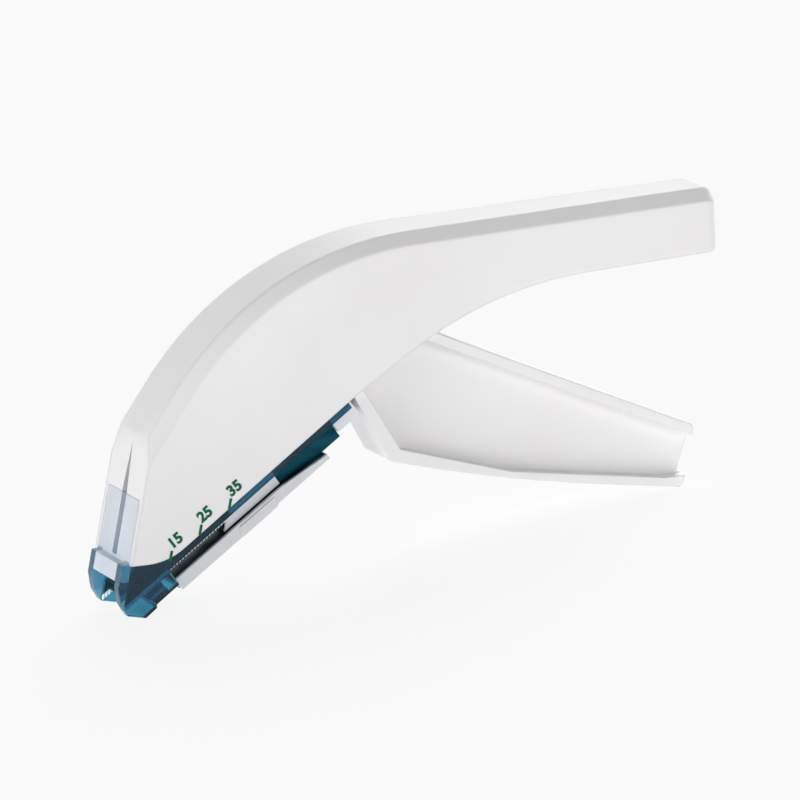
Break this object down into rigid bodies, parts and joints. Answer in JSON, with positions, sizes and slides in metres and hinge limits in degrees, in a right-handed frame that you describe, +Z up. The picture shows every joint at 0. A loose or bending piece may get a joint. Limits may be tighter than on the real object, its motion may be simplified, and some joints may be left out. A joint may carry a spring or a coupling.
{
  "type": "skin stapler",
  "caption": "Hand-held skin stapler with an arched white handle, a squeeze lever and a clear nose and magazine holding a row of wire staples.",
  "frame": {"origin": "centre of the bounding box at table level, with the stapler standing on its nose feet and the lever's heel", "axes": "+X from the nose to the tail, +Y across to the right-hand shell, +Z up; the XZ plane is the mould seam"},
  "size_m": [0.1511, 0.0216, 0.071],
  "materials": {
    "white_plastic": "satin",
    "clear_plastic": "clear, faintly blue",
    "steel": "brushed",
    "staple_steel": "bright drawn wire",
    "spring_steel": "drawn wire"
  },
  "bodies": {
    "housing": {"left_housing": "white_plastic", "right_housing": "white_plastic", "pivot_pin": "steel", "nose_frame": "clear_plastic", "anvil_plate": "steel", "staple_rail": "steel", "spring_rod": "steel", "magazine_cover": "clear_plastic", "end_plug": "clear_plastic", "first_staple": "staple_steel", "staple_row": "staple_steel", "follower_spring": "spring_steel", "return_spring": "spring_steel"},
    "trigger": {"trigger_lever": "white_plastic", "pivot_bush": "white_plastic", "lever_tip_pin": "steel"},
    "driver": {"driver_plate": "steel", "driver_carrier": "white_plastic", "driver_rivets": "steel"},
    "magazine_follower": {"follower": "clear_plastic"}
  },
  "joints": [
    {"name": "trigger_pivot", "type": "hinge", "parent": "housing", "child": "trigger", "pos_m": [-0.02982, 0, 0.04226], "axis": [0, -1, 0], "range_deg": [0, 18], "stiffness_Nm_per_rad": 0.25, "springref_deg": -34.38, "deforming": ["return_spring"]},
    {"name": "driver_slide", "type": "slide", "parent": "housing", "child": "driver", "axis": [-0.3156, 0, -0.9489], "range_m": [0, 0.00684], "deforming": ["first_staple"]},
    {"name": "follower_slide", "type": "slide", "parent": "housing", "child": "magazine_follower", "axis": [-0.8763, 0, -0.4818], "range_m": [0, 0.0285], "deforming": ["staple_row", "follower_spring"]}
  ],
  "couplings": [
    {"joint": "driver_slide", "follows": "trigger_pivot", "m_per_rad": 0.02174}
  ]
}
